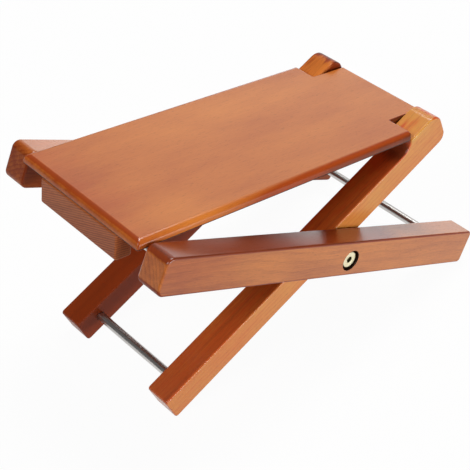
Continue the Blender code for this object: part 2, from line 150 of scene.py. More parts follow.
# How each body's own frame lies in the part's frame
JOINTS = {joint["name"]: Vector(joint["pos_m"]) for joint in frame["joints"]}
PIVOT = JOINTS["leg_fold"]
HINGE = JOINTS["tread_lift"]
TO_CATCH = middle("catch_rod") - PIVOT
OUTER_TILT = math.atan2(TO_CATCH.z, -TO_CATCH.x) - math.asin((OUTER_RISE + CATCH_RISE) / TO_CATCH.length)
TREAD_NORMAL = Vector(frame["record"]["mounts"][0]["axis"])
BOARD_TILT = math.atan2(TREAD_NORMAL.x, TREAD_NORMAL.z)
PLACES = {
    "inner_frame": Matrix.Translation(PIVOT) @ Matrix.Rotation(-INNER_TILT, 4, "Y"),
    "outer_frame": Matrix.Translation(PIVOT) @ Matrix.Rotation(OUTER_TILT, 4, "Y"),
    "platform": Matrix.Translation(HINGE) @ Matrix.Rotation(BOARD_TILT, 4, "Y"),
}

SMOOTH_ANGLE = 40 * DEG  # sharper edges than this are rounded, or stay sharp
WELD = 0.001 * MM
ARC_STEP = 6 * DEG
ROUND = 64  # sides of a turned piece
HEAD_ARC_STEPS = 4  # round the rim of a bolt's head


class Value:
    """A number, colour or shader that a node gives, for sums written as plain Python."""

    def __init__(self, tree, socket):
        self.tree = tree
        self.socket = socket

    def math(self, operation, *others):
        sockets = dict(enumerate((self, *others)))
        return self.tree.node("ShaderNodeMath", sockets, operation=operation)

    def __add__(self, other):
        return self.math("ADD", other)

    __radd__ = __add__

    def __mul__(self, other):
        return self.math("MULTIPLY", other)

    __rmul__ = __mul__

    def __sub__(self, other):
        return self.math("SUBTRACT", other)

    def __rsub__(self, other):
        return self.tree.node("ShaderNodeMath", {0: other, 1: self}, operation="SUBTRACT")

    def size(self):
        """The number without its sign."""
        return self.math("ABSOLUTE")


class Tree:
    """The nodes of one material, or of the world."""

    def __init__(self, owner):
        owner.use_nodes = True
        self.nodes = owner.node_tree.nodes
        self.links = owner.node_tree.links

    def feed(self, socket, value):
        if isinstance(value, Value):
            self.links.new(value.socket, socket)
        else:
            socket.default_value = value

    def node(self, kind, sockets=None, output=0, stops=None, **settings):
        """Adds a node: its settings first, then what its sockets hold or take."""
        made = self.nodes.new(kind)
        for name, setting in settings.items():
            setattr(made, name, setting)
        if stops:
            ramp = made.color_ramp.elements
            while len(ramp) < len(stops):
                ramp.new(1)
            for element, (position, level) in zip(ramp, stops):
                element.position = position
                element.color = (level, level, level, 1)
        for name, value in (sockets or {}).items():
            self.feed(made.inputs[name], value)
        return Value(self, made.outputs[output])

    def place(self):
        """Where a point lies in the part's frame at rest, in metres."""
        return self.node("ShaderNodeTexCoord", output="Object")

    def part_of(self, vector, axis):
        return self.node("ShaderNodeSeparateXYZ", {0: vector}, output=axis)

    def stretch(self, vector, factors):
        return self.node("ShaderNodeVectorMath", {0: vector, 1: factors}, operation="MULTIPLY")

    def dot(self, vector, axis):
        return self.node("ShaderNodeVectorMath", {0: vector, 1: axis}, "Value", operation="DOT_PRODUCT")

    def distance(self, vector, shift, factors):
        """The length of a shifted vector, with its parts taken by their factors."""
        off = self.node("ShaderNodeVectorMath", {0: vector, 1: shift}, operation="ADD")
        return self.node("ShaderNodeVectorMath", {0: self.stretch(off, factors)}, "Value", operation="LENGTH")

    def noise(self, vector, pace, detail=2, roughness=0.5):
        """Noise from 0 to 1, with a pace of its own along each axis."""
        sockets = {"Vector": self.stretch(vector, pace), "Scale": 1, "Detail": detail, "Roughness": roughness}
        return self.node("ShaderNodeTexNoise", sockets)

    def step(self, value, low, high):
        """Goes softly from 0 to 1 as the value goes from low to high."""
        sockets = {"Value": value, "From Min": low, "From Max": high}
        return self.node("ShaderNodeMapRange", sockets, interpolation_type="SMOOTHSTEP")

    def between(self, value, rise, fall):
        """Goes softly to 1 over the first pair and back to 0 over the second."""
        return self.step(value, *rise) * self.step(value, *reversed(fall))

    def mix(self, share, first, second):
        """From the first colour to the second, by the second one's share."""
        return self.node("ShaderNodeMix", {0: share, 6: first, 7: second}, output=2, data_type="RGBA")

    def bump(self, strength, distance, height):
        sockets = {"Strength": strength, "Distance": distance, "Height": height}
        return self.node("ShaderNodeBump", sockets)

    def seen_by(self, ray):
        return self.node("ShaderNodeLightPath", output="Is %s Ray" % ray)

    def mirrored(self):
        return self.seen_by("Glossy").math("MAXIMUM", self.seen_by("Transmission"))


def colour(red, green, blue):
    return (red, green, blue, 1)


def tinted(tone, shares):
    return colour(*(part * share for part, share in zip(tone, shares)))


def finish_of(name):
    """A new material, its nodes and the sockets of its surface."""
    material = bpy.data.materials.new(name)
    tree = Tree(material)
    return material, tree, tree.nodes["Principled BSDF"].inputs


# Wood colours, in pairs: pale, and deep where the stain and painted shade are full
AMBER = colour(0.87, 0.236, 0.035)
RED = colour(0.44, 0.066, 0.008)
OUTER_AMBER = colour(0.88, 0.245, 0.037)
OUTER_RED = colour(0.31, 0.046, 0.007)
TAN = colour(0.87, 0.365, 0.062)
BROWN = colour(0.80, 0.135, 0.024)
# The far inner leg's pair: partly its own redder wood, partly painted shade, as it is darker than the near leg's
# for the far side's shade
FAR_TAN = colour(0.95, 0.27, 0.04)
FAR_BROWN = colour(0.37, 0.054, 0.009)
DUSKY = colour(0.69, 0.19, 0.058)
DUN = colour(0.28, 0.060, 0.022)
# Near black, for painted shade in the counterbores and a painted shadow line under the tread's low edges
PAINTED_SHADE_BLACK = colour(0.045, 0.014, 0.005)
GOLDEN = (1, 1.2, 1.25)  # of the pale colour
DARK = (0.4, 0.5, 0.9)  # of the deep colour

# Metals and nylon
ROD_TONE = colour(0.64, 0.62, 0.60)
ROD_ROUGHNESS = 0.28
SCREW_TONE = colour(0.6, 0.6, 0.58)
SCREW_ROUGHNESS = 0.32
DULLED = (0.85, 0.85, 0.85)  # of the steel's tone
STEEL_PATCH_EDGE = (0.4, 0.7)
STEEL_PATCH_ROUGHNESS = 0.05
PALE_BRASS = colour(0.96, 0.88, 0.6)
DULL_BRASS = colour(0.8, 0.7, 0.42)
BRASS_PATCH_EDGE = (0.4, 0.72)
BRASS_PATCH_ROUGHNESS = 0.12
BRASS_ROUGHNESS = 0.28
BRASS_METALLIC = 0.6
SCRATCH_ROUGHNESS = 0.25
SCRATCH_RELIEF = 0.04 * MM
SCRATCH_STRENGTH = 0.1
SUNK_BRASS = colour(0.14, 0.12, 0.05)
SUNK_START = 0.2 * MM  # below a bolt's face the plating is darker from here
SUNK_END = 0.9 * MM
NYLON = colour(0.78, 0.77, 0.72)
NYLON_SHADE = colour(0.66, 0.65, 0.6)
NYLON_ROUGHNESS = 0.4
CLOUD_ROUGHNESS = 0.2

# Paces of the metals' and the nylon's noise, per metre
STEEL_PATCHES = (60, 25, 60)
BRASS_PATCHES = (420, 420, 420)
BRASS_SCRATCHES = (900, 900, 5200)
NYLON_CLOUDS = (300, 300, 300)

# Paces of the wood's noise along and across its grain, per mm
BEND = (0.004, 0.012)
RIPPLE = (0.02, 0.12)
BANDS = (0.005, 0.25)
FIBRES = (0.05, 1.1)
FINE_FIBRES = (0.2, 3.6)
PORES = (0.22, 1.7)
STAIN = (0.011, 0.035)
PATCHES = (0.014, 0.03)
MOTTLE = (0.16, 0.16)

# Figure, stain and painted shade of the wood, and how much each thing adds to them
NEXT_PIECE = 731  # mm along the grain from one piece's figure to the next one's
BEND_SWAY = 5  # in rings
RIPPLE_SWAY = 0.8  # in rings
SAP_AND_LIGHT_WAVE = 12  # in mm, by the ripple
RING_DARKNESS = [(0, 0.0), (0.45, 0.25), (0.88, 1.0), (1, 0.05)]  # from its inside to its outside
RINGS_LOST = 0.8  # on the faces across Z
END_RINGS = 0.08
FIBRE_FIGURE = 0.4
FINE_FIGURE = 0.35
STAIN_SWING = 0.8
MOTTLE_SWING = 0.8  # on the ends
SOAK_AND_SHADE_LEAST = 0.6
SOAK_AND_SHADE_SWING = 0.8
# Painted shade in the notches beside the tongue
NOTCH_PAINTED_SHADE = 3
HOLLOW_EDGE = 1  # in mm
SAP_AND_LIGHT_PALER = 0.2  # than wood without the stain that is all over
# Painted shade under the tread, on the tops below the head
UNDER_TREAD_PAINTED_SHADE = 1.5
STREAK_DARK = 0.4
PORE_DARK = 0.24
OVER_STAINED_AND_SHADED = (1.4, 2.4)  # stain and painted shade over which the deep colour turns dark
GOLD_PATCHES = (0.35, 0.65)
PORE_EDGE = (0.62, 0.72)
BORE_EDGE = 0.15  # in mm

# Roundings and faces, by how far they are turned towards an end or upwards
END_ROUNDING = (0.08, 0.3), (0.5, 0.85)
TOP_ROUNDING = (0.1, 0.4), (0.88, 0.98)
LOW_ROUNDING = (0, -0.2), (-0.85, -0.98)
FACES_UP = (0.7, 0.98)
NOT_BELOW = (-0.25, 0.05)

# Surface of the wood, under its lacquer and on it
GRAIN_ROUGHNESS = 0.12  # of the fine fibres and the pores
GRAIN_STRENGTH = 0.12
GRAIN_RELIEF = 0.12 * MM
FIBRE_HEIGHT = 0.5  # of the relief, as the next two are
FINE_HEIGHT = 0.3
PORE_SINK = 0.6
WOOD_SPECULAR = 0.15
LACQUER_IOR = 1.6
LACQUER_ROUGHNESS = 0.22


class WoodLook:
    """
    How a wood looks. Lengths are in mm, in the frame of its grain, which runs along X with Z upwards.

    A piece names only the traits in which it differs from the ones here.
    """

    pith = (60, 40)  # from the middle of the rings to the frame's origin, in Y and Z
    ring = 3.4  # width of a year's ring
    rings = 0.1  # how plain the rings are
    figure = 1  # how plain all streaks are
    banded = 0  # how plain the dark bands on the faces across Z are
    stained = 0.38  # stain all over
    soak_and_shade = (0, 0, 0)  # faces across X, Y and Z darker: on the ends partly more stain in the end grain, on the sides and tops painted shade; below 0, painted light makes them paler
    soak_and_shade_fading = None  # axis whose soak and painted shade fade, its middle along X, how far off it is whole and gone
    arris = 0  # painted shade on the rounding of the ends, with a painted shadow line under the low edges
    edge = 0  # painted shade on the rounding along the top
    hollow = None  # past this place along X, the faces across Y are darkest: painted shade in the notches beside the tongue
    sap_and_light = None  # heights between which it turns pale: partly paler wood in the head, partly painted light where the head stands up out of the tread's shade
    shade = None  # places along X between which the top below the sap turns dark: painted shade under the tread
    tint = 0.6  # how golden the patches are
    ripe = None  # places along X between which it turns golden, and how much darker it is before them
    bore = None  # radius about the frame's Y axis within which it is painted near black, as shade in the counterbore
    rough = 0.34
    coat = 1  # how much lacquer it has
    matt = 0  # how much less of that the sides have

    def __init__(self, pale, deep, **traits):
        self.pale = pale
        self.deep = deep
        for trait, value in traits.items():
            setattr(self, trait, value)


class Grain:
    """Where a point lies in its wood, in mm, and how the surface is turned there."""

    def __init__(self, tree, axes, piece):
        self.tree = tree
        self.shift = NEXT_PIECE * piece
        sockets = {
            "Vector": tree.place(),
            "Location": axes @ Vector((self.shift * MM, 0, 0)),
            "Rotation": axes.to_euler(),
            "Scale": (MM, MM, MM),
        }
        self.point = tree.node("ShaderNodeMapping", sockets, vector_type="TEXTURE")
        self.along = tree.part_of(self.point, "X") + self.shift
        facing = tree.node("ShaderNodeTexCoord", output="Normal")
        turns = [tree.dot(facing, axis) for axis in axes.to_3x3().transposed()]
        self.upturn = turns[2]
        self.end_on, self.side_on, self.up_on = (turn.size() for turn in turns)
        self.ripple = self.swing(RIPPLE)

    def noise(self, pace, detail=2, roughness=0.5):
        """Noise from 0 to 1, drawn out along the grain."""
        along, across = pace
        return self.tree.noise(self.point, (along, across, across), detail, roughness)

    def swing(self, pace, detail=2, roughness=0.5):
        """The same noise about 0."""
        return self.noise(pace, detail, roughness) - 0.5


def late_wood(grain, look):
    """The dark part of each year's ring."""
    tree = grain.tree
    from_pith = tree.distance(grain.point, (0, *look.pith), (0, 1, 1))
    turn = from_pith * (1 / look.ring) + grain.swing(BEND) * BEND_SWAY + grain.ripple * RIPPLE_SWAY
    late = tree.node("ShaderNodeValToRGB", {"Fac": turn.math("FRACT")}, stops=RING_DARKNESS)
    return late * ((1 - grain.up_on * RINGS_LOST) * look.rings + grain.end_on * END_RINGS)


def stain_and_shade_of(grain, look, patches):
    """How deep the stain and the painted shade are: 0 is the pale colour and 1 the deep one."""
    tree = grain.tree
    stain_and_shade = grain.swing(STAIN, 3, 0.55) * STAIN_SWING + look.stained
    stain_and_shade = stain_and_shade + grain.end_on * grain.swing(MOTTLE, 3, 0.6) * MOTTLE_SWING
    # Faces darker by how they are turned: on the ends partly more stain in the end grain, on the sides and tops
    # painted shade; a share below 0 is painted light
    for axis, (facing, share) in enumerate(zip((grain.end_on, grain.side_on, grain.up_on), look.soak_and_shade)):
        if share:
            taken = facing * (patches * SOAK_AND_SHADE_SWING + SOAK_AND_SHADE_LEAST) * share
            if look.soak_and_shade_fading and look.soak_and_shade_fading[0] == axis:
                centre, whole, gone = look.soak_and_shade_fading[1:]
                taken = taken * tree.step((grain.along - centre).size(), gone, whole)
            stain_and_shade = stain_and_shade + taken
    # Painted shade on the rounding of the ends
    if look.arris:
        stain_and_shade = stain_and_shade + tree.between(grain.end_on, *END_ROUNDING) * look.arris
    # Painted shade on the rounding along the top
    if look.edge:
        stain_and_shade = stain_and_shade + tree.between(grain.up_on, *TOP_ROUNDING) * look.edge
    # Painted shade on the faces across Y in the notches
    if look.hollow:
        past = tree.step(grain.along, look.hollow - HOLLOW_EDGE, look.hollow)
        stain_and_shade = stain_and_shade + grain.side_on * past * NOTCH_PAINTED_SHADE
    # Pale head above the tread, partly paler wood and partly painted light; painted shade on the top below it,
    # under the tread
    if look.sap_and_light:
        height = tree.part_of(grain.point, "Z") + grain.ripple * SAP_AND_LIGHT_WAVE
        paler = tree.step(height, *look.sap_and_light)
        shaded = tree.step(grain.along, *look.shade) * (1 - paler) * grain.up_on
        stain_and_shade = stain_and_shade - paler * (look.stained + SAP_AND_LIGHT_PALER) + shaded * UNDER_TREAD_PAINTED_SHADE
    return stain_and_shade


def wood(name, look, piece, axes):
    """Lacquered wood, its grain along X of the axes. Each piece has a number of its own."""
    material, tree, surface = finish_of(name)
    grain = Grain(tree, axes, piece)
    fibres = grain.swing(FIBRES, 3, 0.6)
    fine = grain.swing(FINE_FIBRES, 2, 0.6)
    pores = tree.step(grain.noise(PORES, 1), *PORE_EDGE)
    patches = grain.noise(PATCHES, 3, 0.6)
    streaks = (late_wood(grain, look) + fibres * FIBRE_FIGURE + fine * FINE_FIGURE) * look.figure
    stain_and_shade = streaks + stain_and_shade_of(grain, look, patches)
    gold = tree.step(patches, *GOLD_PATCHES) * look.tint
    if look.ripe:
        start, end, before = look.ripe
        ripeness = tree.step(grain.along, start, end)
        gold = gold + ripeness
        stain_and_shade = stain_and_shade + (1 - ripeness) * before
    marks = streaks * STREAK_DARK + pores * PORE_DARK
    if look.banded:
        marks = marks + grain.swing(BANDS, 3, 0.6) * grain.up_on * look.banded

    dark = tinted(look.deep, DARK)
    body = tree.mix(stain_and_shade, tree.mix(gold, look.pale, tinted(look.pale, GOLDEN)), look.deep)
    # Where stain and painted shade stack up, the deep colour turns darker still
    body = tree.mix(tree.step(stain_and_shade, *OVER_STAINED_AND_SHADED), body, dark)
    body = tree.mix(marks, body, dark)
    # A painted shadow line under the low edges
    if look.arris:
        body = tree.mix(tree.between(grain.upturn, *LOW_ROUNDING), body, PAINTED_SHADE_BLACK)
    # Painted shade in the counterbore about the bolt
    if look.bore:
        from_axis = tree.distance(grain.point, (grain.shift, 0, 0), (1, 0, 1))
        body = tree.mix(tree.step(from_axis, look.bore + BORE_EDGE, look.bore), body, PAINTED_SHADE_BLACK)
    tree.feed(surface["Base Color"], body)
    tree.feed(surface["Roughness"], (fine + pores) * GRAIN_ROUGHNESS + look.rough)
    height = fibres * FIBRE_HEIGHT + fine * FINE_HEIGHT - pores * PORE_SINK
    tree.feed(surface["Normal"], tree.bump(GRAIN_STRENGTH, GRAIN_RELIEF, height))
    lacquered = tree.step(grain.up_on, *FACES_UP) * look.matt + (1 - look.matt)
    tree.feed(surface["Coat Weight"], tree.step(grain.upturn, *NOT_BELOW) * lacquered * look.coat)
    surface["Specular IOR Level"].default_value = WOOD_SPECULAR
    surface["Coat IOR"].default_value = LACQUER_IOR
    surface["Coat Roughness"].default_value = LACQUER_ROUGHNESS
    return material


def steel(name, tone, rough):
    """Bright drawn bar, duller in patches."""
    material, tree, surface = finish_of(name)
    dull = tree.step(tree.noise(tree.place(), STEEL_PATCHES), *STEEL_PATCH_EDGE)
    tree.feed(surface["Base Color"], tree.mix(dull, tone, tinted(tone, DULLED)))
    tree.feed(surface["Roughness"], dull * STEEL_PATCH_ROUGHNESS + rough)
    surface["Metallic"].default_value = 1
    return material


def plating(name, face=None):
    """Pale brass plating, dulled in patches and dark where it lies sunk below a face."""
    material, tree, surface = finish_of(name)
    place = tree.place()
    patches = tree.noise(place, BRASS_PATCHES, 3, 0.6)
    scratches = tree.noise(place, BRASS_SCRATCHES, 2, 0.7)
    body = tree.mix(tree.step(patches, *BRASS_PATCH_EDGE), PALE_BRASS, DULL_BRASS)
    if face:
        out = tree.part_of(place, "Y").size()
        body = tree.mix(tree.step(out, face - SUNK_START, face - SUNK_END), body, SUNK_BRASS)
    tree.feed(surface["Base Color"], body)
    rough = (scratches - 0.5) * SCRATCH_ROUGHNESS + patches * BRASS_PATCH_ROUGHNESS + BRASS_ROUGHNESS
    tree.feed(surface["Roughness"], rough)
    tree.feed(surface["Normal"], tree.bump(SCRATCH_STRENGTH, SCRATCH_RELIEF, scratches))
    surface["Metallic"].default_value = BRASS_METALLIC
    return material


def nylon(name):
    """Cloudy white nylon."""
    material, tree, surface = finish_of(name)
    cloud = tree.noise(tree.place(), NYLON_CLOUDS, 3, 0.6)
    tree.feed(surface["Base Color"], tree.mix(cloud, NYLON, NYLON_SHADE))
    tree.feed(surface["Roughness"], cloud * CLOUD_ROUGHNESS + NYLON_ROUGHNESS)
    return material


def rounded(corners):
    """Points of a closed outline. Each corner is (x, z, radius)."""
    points = []
    count = len(corners)
    for i in range(count):
        before = Vector(corners[i - 1][:2])
        here = Vector(corners[i][:2])
        after = Vector(corners[(i + 1) % count][:2])
        radius = corners[i][2]
        if not radius:
            points.append(here)
            continue
        back = (before - here).normalized()
        on = (after - here).normalized()
        half = back.angle(on) / 2
        centre = here + (back + on).normalized() * radius / math.sin(half)
        start = here + back * radius / math.tan(half) - centre
        sweep = start.angle_signed(here + on * radius / math.tan(half) - centre)
        steps = max(3, math.ceil(abs(sweep) / ARC_STEP))
        for k in range(steps + 1):
            turn = Matrix.Rotation(-sweep * k / steps, 2)
            points.append(centre + turn @ start)
    return points


def closed(bm, name):
    """The mesh, with its faces turned outwards."""
    bmesh.ops.recalc_face_normals(bm, faces=bm.faces)
    if bm.calc_volume(signed=True) < 0:
        bmesh.ops.reverse_faces(bm, faces=bm.faces)
    mesh = bpy.data.meshes.new(name)
    bm.to_mesh(mesh)
    bm.free()
    return mesh


def drawn_out(bm, points, along):
    """Fills the outline and draws it out along a vector."""
    face = bm.faces.new([bm.verts.new(point) for point in points])
    new = bmesh.ops.extrude_face_region(bm, geom=[face])["geom"]
    moved = [v for v in new if isinstance(v, bmesh.types.BMVert)]
    bmesh.ops.translate(bm, verts=moved, vec=along)


def sawn(name, outline, y0, y1):
    """The outline, in X and Z, sawn from y0 to y1."""
    bm = bmesh.new()
    drawn_out(bm, [(p.x, y0, p.y) for p in outline], (0, y1 - y0, 0))
    return closed(bm, name)


def turned(name, steps):
    """A piece turned about Y. Its steps are (distance along the axis, radius)."""
    bm = bmesh.new()
    points = [(steps[0][0], 0), *steps, (steps[-1][0], 0)]
    verts = [bm.verts.new((radius, along, 0)) for along, radius in points]
    edges = [bm.edges.new(pair) for pair in zip(verts, verts[1:])]
    bmesh.ops.spin(
        bm,
        geom=verts + edges,
        cent=(0, 0, 0),
        axis=(0, 1, 0),
        angle=2 * math.pi,
        steps=ROUND,
        use_merge=True,
    )
    bmesh.ops.remove_doubles(bm, verts=bm.verts, dist=WELD)
    return closed(bm, name)


def place_in(body, node):
    """Where the middle of a solid lies in a body's own frame."""
    return PLACES[body].inverted() @ middle(node)


def placed(name, mesh, body, at=(0, 0, 0)):
    """An object in a body's own frame, in place in the part's frame."""
    obj = bpy.data.objects.new(name, mesh)
    bpy.context.scene.collection.objects.link(obj)
    obj.matrix_world = PLACES[body] @ Matrix.Translation(at)
    return obj


def made_of(obj, cutters=(), edge=0, segments=4, weighted=False):
    """Rounds the edges, takes the cutters out and keeps the result as the piece's own mesh."""
    if edge:
        bevel = obj.modifiers.new("edges", "BEVEL")
        bevel.width = edge
        bevel.segments = segments
        bevel.limit_method = "WEIGHT" if weighted else "ANGLE"
        bevel.angle_limit = SMOOTH_ANGLE
    for cutter in cutters:
        boolean = obj.modifiers.new(cutter.name, "BOOLEAN")
        boolean.operation = "DIFFERENCE"
        boolean.solver = "EXACT"
        boolean.object = cutter
    bpy.context.view_layer.update()
    graph = bpy.context.evaluated_depsgraph_get()
    mesh = bpy.data.meshes.new_from_object(obj.evaluated_get(graph))
    mesh.transform(obj.matrix_world)
    bm = bmesh.new()
    bm.from_mesh(mesh)
    bmesh.ops.dissolve_degenerate(bm, edges=bm.edges, dist=WELD)
    bm.to_mesh(mesh)
    bm.free()
    obj.modifiers.clear()
    obj.data = mesh
    obj.matrix_world = Matrix.Identity(4)
    for cutter in cutters:
        bpy.data.objects.remove(cutter, do_unlink=True)
    mesh.shade_smooth()
    mesh.set_sharp_from_angle(angle=SMOOTH_ANGLE)
    flat = obj.modifiers.new("flat_faces", "WEIGHTED_NORMAL")
    flat.keep_sharp = True
    return obj


def stands_for(obj, node, body, material):
    """The piece takes the place of a solid, on its body and with its finish."""
    obj.data.materials.clear()
    obj.data.materials.append(material)
    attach(obj, body)
    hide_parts(node)


def span(side, y0, y1):
    """Both distances on a side, -1 for near and 1 for far, the lower one first."""
    return min(side * y0, side * y1), max(side * y0, side * y1)


def rod_hole(node, face, side, body):
    """The cutter for the hole that takes a rod's end, from the leg's inner face."""
    low, high = span(side, face - GAP, sides_of(node)[1] + GAP)
    hole = turned(node + "_hole", [(low, ROD_BORE_R), (high, ROD_BORE_R)])
    return placed(node + "_hole", hole, body, place_in(body, node))


def pivot_hole(steps, side, body):
    """The cutter for a leg's stepped hole on the pivot's axis. Its steps are those of the far side."""
    hole = turned("pivot_hole", [(side * y, radius) for y, radius in steps])
    return placed("pivot_hole", hole, body)


def ramp_of_head(half):
    """The hollow rise from the shaft to the head, downwards, as corners of the leg's outline."""
    turn = math.acos(1 - HEAD_RAISE / RAMP_R)
    foot = HEAD_START - RAMP_R * math.sin(turn)
    steps = math.ceil(turn / ARC_STEP)
    ramp = []
    for k in range(steps, -1, -1):
        rise = turn * k / steps
        ramp.append((foot + RAMP_R * math.sin(rise), half + RAMP_R * (1 - math.cos(rise)), 0))
    return ramp


def inner_leg(tag, side, material):
    body = "inner_frame"
    name = "leg_inner_" + tag
    half = INNER_H / 2
    outline = rounded(
        [
            (-INNER_FOOT_END, -half, INNER_FOOT_R),
            (INNER_HEAD_END, -half, HEAD_LOW_R),
            (INNER_HEAD_END, half + HEAD_RAISE, HEAD_TOP_R),
            *ramp_of_head(half),
            (-INNER_FOOT_END, half, INNER_FOOT_R),
        ]
    )
    leg = placed(name, sawn(name, outline, *span(side, INNER_FACE, INNER_OUT)), body)
    recess = INNER_FACE + SLEEVE_HEAD_H + 2 * GAP
    floor = INNER_OUT - SLEEVE_END + GAP
    seat = INNER_OUT - WASHER_SINK
    steps = [
        (INNER_FACE - GAP, SLEEVE_HEAD_R + GAP),
        (recess, SLEEVE_HEAD_R + GAP),
        (recess, SLEEVE_R + GAP),
        (floor, SLEEVE_R + GAP),
        (floor, BOLT_R + GAP),
        (seat, BOLT_R + GAP),
        (seat, WASHER_R + GAP),
        (INNER_OUT + GAP, WASHER_R + GAP),
    ]
    cutters = [rod_hole(node, INNER_FACE, side, body) for node in ("inner_foot_rod", "hinge_rod")]
    made_of(leg, [*cutters, pivot_hole(steps, side, body)], LEG_EDGE_R)
    stands_for(leg, "inner_leg_" + tag, body, material)


def outer_leg(tag, side, material):
    body = "outer_frame"
    name = "leg_outer_" + tag
    low = OUTER_RISE - OUTER_H / 2
    high = OUTER_RISE + OUTER_H / 2
    top_end = place_in(body, "catch_rod").x - OUTER_TOP_MARGIN
    outline = rounded(
        [
            (top_end, low, OUTER_TOP_R),
            (OUTER_FOOT_END, low, OUTER_FOOT_R),
            (OUTER_FOOT_END, high, OUTER_FOOT_R),
            (top_end, high, OUTER_TOP_R),
        ]
    )
    leg = placed(name, sawn(name, outline, *span(side, OUTER_FACE, OUTER_OUT)), body)
    floor = BOLT_FACE - BOLT_HEAD_H - GAP
    steps = [
        (OUTER_FACE - GAP, BOLT_R + GAP),
        (floor, BOLT_R + GAP),
        (floor, COUNTERBORE_R),
        (OUTER_OUT + GAP, COUNTERBORE_R),
    ]
    cutters = [rod_hole(node, OUTER_FACE, side, body) for node in ("outer_foot_rod", "catch_rod")]
    made_of(leg, [*cutters, pivot_hole(steps, side, body)], LEG_EDGE_R)
    stands_for(leg, "outer_leg_" + tag, body, material)


def tread(material):
    """The tread, its top edges well rounded all round its wide stretch."""
    half = [
        (BOARD_LEFT, -BOARD_HALF),
        (-SHOULDER, -BOARD_HALF),
        (-SHOULDER, -TONGUE_HALF),
        (TONGUE_END, -TONGUE_HALF),
    ]
    outline = half + [(x, -y) for x, y in reversed(half)]
    bm = bmesh.new()
    drawn_out(bm, [(x, y, UNDERSIDE) for x, y in outline], (0, 0, BOARD_T))
    weight = bm.edges.layers.float.new("bevel_weight_edge")
    top = UNDERSIDE + BOARD_T
    for edge in bm.edges:
        a, b = (v.co for v in edge.verts)
        on_top = min(a.z, b.z) > top - GAP
        on_rim = max(abs(a.y), abs(b.y)) > BOARD_HALF - GAP
        at_shoulder = min(a.x, b.x) > -SHOULDER - GAP
        edge[weight] = 1 if on_top and on_rim and not at_shoulder else BOARD_EDGE_R / BOARD_TOP_R
    board = placed("tread_board", closed(bm, "tread_board"), "platform")
    made_of(board, edge=BOARD_TOP_R, segments=5, weighted=True)
    stands_for(board, "top_board", "platform", material)


def crossbar(name, node, u0, u1, height, material, cutters=()):
    """A bar across the underside of the tread."""
    top = UNDERSIDE - GAP
    corners = [(u0, top - height, BAR_R), (u1, top - height, BAR_R), (u1, top, 0), (u0, top, 0)]
    bar = placed(name, sawn(name, rounded(corners), -TONGUE_HALF, TONGUE_HALF), "platform")
    made_of(bar, cutters, BOARD_EDGE_R)
    stands_for(bar, node, "platform", material)


def hinge_bore():
    """The cutter for the hinge rod's bore, along the whole hinge bar."""
    steps = [(-TONGUE_HALF - GAP, ROD_BORE_R), (TONGUE_HALF + GAP, ROD_BORE_R)]
    return placed("bore", turned("bore", steps), "platform")


def rack(tag, side, material):
    """A strip under the tread, with notches that the catch rod sits in."""
    catch = place_in("platform", "catch_rod")
    top = UNDERSIDE - GAP
    low = top - RACK_H
    seat = catch.z + ROD_BORE_R
    start = BOARD_LEFT + CLEAT_W + GAP
    end = catch.x + (NOTCH_COUNT - 1) * NOTCH_PITCH + RACK_END
    spread = (seat - low) * math.tan(NOTCH_RAKE)
    corners = [(start, top, 0), (start, low, 0)]
    for k in range(NOTCH_COUNT):
        right = catch.x + k * NOTCH_PITCH + ROD_BORE_R
        left = right - 2 * ROD_BORE_R - NOTCH_FREE
        corners += [(left - spread, low, 0), (left, seat, NOTCH_R), (right, seat, NOTCH_R), (right, low, 0)]
    corners += [(end, low, RACK_END_R), (end, top, 0)]
    name = "notched_rack_" + tag
    strip = sawn(name, rounded(corners), *span(side, RACK_FACE, RACK_OUT))
    made = made_of(placed(name, strip, "platform"))
    stands_for(made, "rack_" + tag, "platform", material)


def rod(name, node, body, material):
    end = sides_of(node)[1]
    steps = [
        (-end, ROD_R - ROD_CHAMFER),
        (-end + ROD_CHAMFER, ROD_R),
        (end - ROD_CHAMFER, ROD_R),
        (end, ROD_R - ROD_CHAMFER),
    ]
    made = made_of(placed(name, turned(name, steps), body, place_in(body, node)))
    stands_for(made, node, body, material)


def socket_of(side):
    """The cutter for the hexagon socket in a bolt's head."""
    turns = [k * math.pi / 3 for k in range(6)]
    outline = [Vector((math.cos(turn), math.sin(turn))) * SOCKET_CORNER_R for turn in turns]
    socket = sawn("socket", outline, *span(side, BOLT_FACE - SOCKET_DEPTH, BOLT_FACE + GAP))
    return placed("socket", socket, "outer_frame")


def bolt(tag, side, material):
    name = "bolt_" + tag
    under = BOLT_FACE - BOLT_HEAD_H
    steps = [
        (BOLT_TIP, BOLT_R - BOLT_CHAMFER),
        (BOLT_TIP + BOLT_CHAMFER, BOLT_R),
        (under, BOLT_R),
        (under, BOLT_HEAD_R),
    ]
    for k in range(HEAD_ARC_STEPS + 1):
        turn = k / HEAD_ARC_STEPS * math.pi / 2
        below = BOLT_CHAMFER * (1 - math.sin(turn))
        within = BOLT_CHAMFER * (1 - math.cos(turn))
        steps.append((BOLT_FACE - below, BOLT_HEAD_R - within))
    steps.append((BOLT_FACE, SOCKET_CORNER_R + DISH_RIM))
    steps.append((BOLT_FACE - DISH_DEPTH, SOCKET_CORNER_R + DISH_FLOOR))
    made = placed(name, turned(name, [(side * y, radius) for y, radius in steps]), "outer_frame")
    made_of(made, [socket_of(side)])
    stands_for(made, "pivot_bolt_" + tag, "outer_frame", material)


